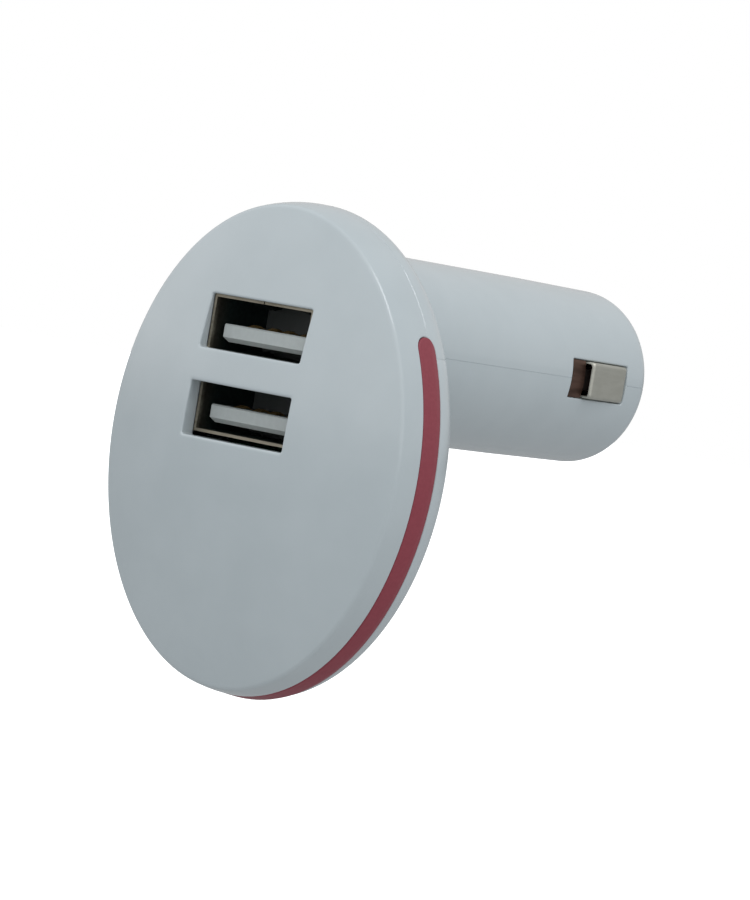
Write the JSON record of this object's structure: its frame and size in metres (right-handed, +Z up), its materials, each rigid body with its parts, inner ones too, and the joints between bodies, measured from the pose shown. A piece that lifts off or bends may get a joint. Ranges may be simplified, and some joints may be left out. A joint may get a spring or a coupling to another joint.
{
  "type": "car usb charger plug",
  "caption": "White oval-headed plug for a car accessory socket, with stacked USB sockets in its domed face, a rose trim band, sprung side contacts and a sprung tip pin.",
  "frame": {"origin": "on the barrel's axis, at the shoulder behind the head that seats on the car's socket", "axes": "+Y along the barrel towards the tip pin, so the face looks along -Y; +Z up, with the head hanging below the barrel's axis; +X to the right, seen from the front"},
  "size_m": [0.0398, 0.0652, 0.0515],
  "materials": {
    "gloss_white": "moulded gloss white",
    "rose_trim": "moulded satin rose",
    "nickel_can": "nickel-plated sheet",
    "tongue_white": "moulded satin white",
    "gold_contact": "gilded spring bronze",
    "board_green": "solder mask on glass fibre board",
    "part_black": "moulded black",
    "ferrite": "sintered ferrite",
    "copper": "enamelled copper wire",
    "capacitor_can": "drawn aluminium",
    "fuse_green": "dipped green",
    "chip_tan": "fired ceramic",
    "nickel_contact": "satin nickel plate",
    "bronze": "spring bronze",
    "spring_steel": "drawn wire",
    "brass": "stamped brass"
  },
  "bodies": {
    "housing": {"front_cover": "gloss_white", "upper_shell": "gloss_white", "lower_shell": "gloss_white", "trim_band": "rose_trim", "usb_can_upper": "nickel_can", "usb_can_lower": "nickel_can", "usb_tongue_upper": "tongue_white", "usb_tongue_lower": "tongue_white", "usb_contacts_upper": "gold_contact", "usb_contacts_lower": "gold_contact", "usb_board": "board_green", "main_board": "board_green", "power_ic": "part_black", "inductor_core": "ferrite", "inductor_coil": "copper", "input_capacitor": "capacitor_can", "output_capacitor": "capacitor_can", "diode": "part_black", "input_fuse": "fuse_green", "chip_parts": "chip_tan", "contact_spring_right": "bronze", "contact_spring_left": "bronze", "ground_strip_right": "bronze", "ground_strip_left": "bronze", "tip_spring": "spring_steel", "tip_bracket": "brass"},
    "contact_right": {"side_contact_right": "nickel_contact"},
    "contact_left": {"side_contact_left": "nickel_contact"},
    "tip": {"tip_pin": "nickel_contact"}
  },
  "joints": [
    {"name": "side_contact_right_press", "type": "slide", "parent": "housing", "child": "contact_right", "axis": [-1, 0, 0], "range_m": [0, 0.00115], "stiffness_N_per_m": 3000, "springref_m": -0.0005, "deforming": ["contact_spring_right"]},
    {"name": "side_contact_left_press", "type": "slide", "parent": "housing", "child": "contact_left", "axis": [1, 0, 0], "range_m": [0, 0.00115], "stiffness_N_per_m": 3000, "springref_m": -0.0005, "deforming": ["contact_spring_left"]},
    {"name": "tip_pin_press", "type": "slide", "parent": "housing", "child": "tip", "axis": [0, -1, 0], "range_m": [0, 0.0035], "stiffness_N_per_m": 900, "springref_m": -0.002, "deforming": ["tip_spring"]}
  ]
}
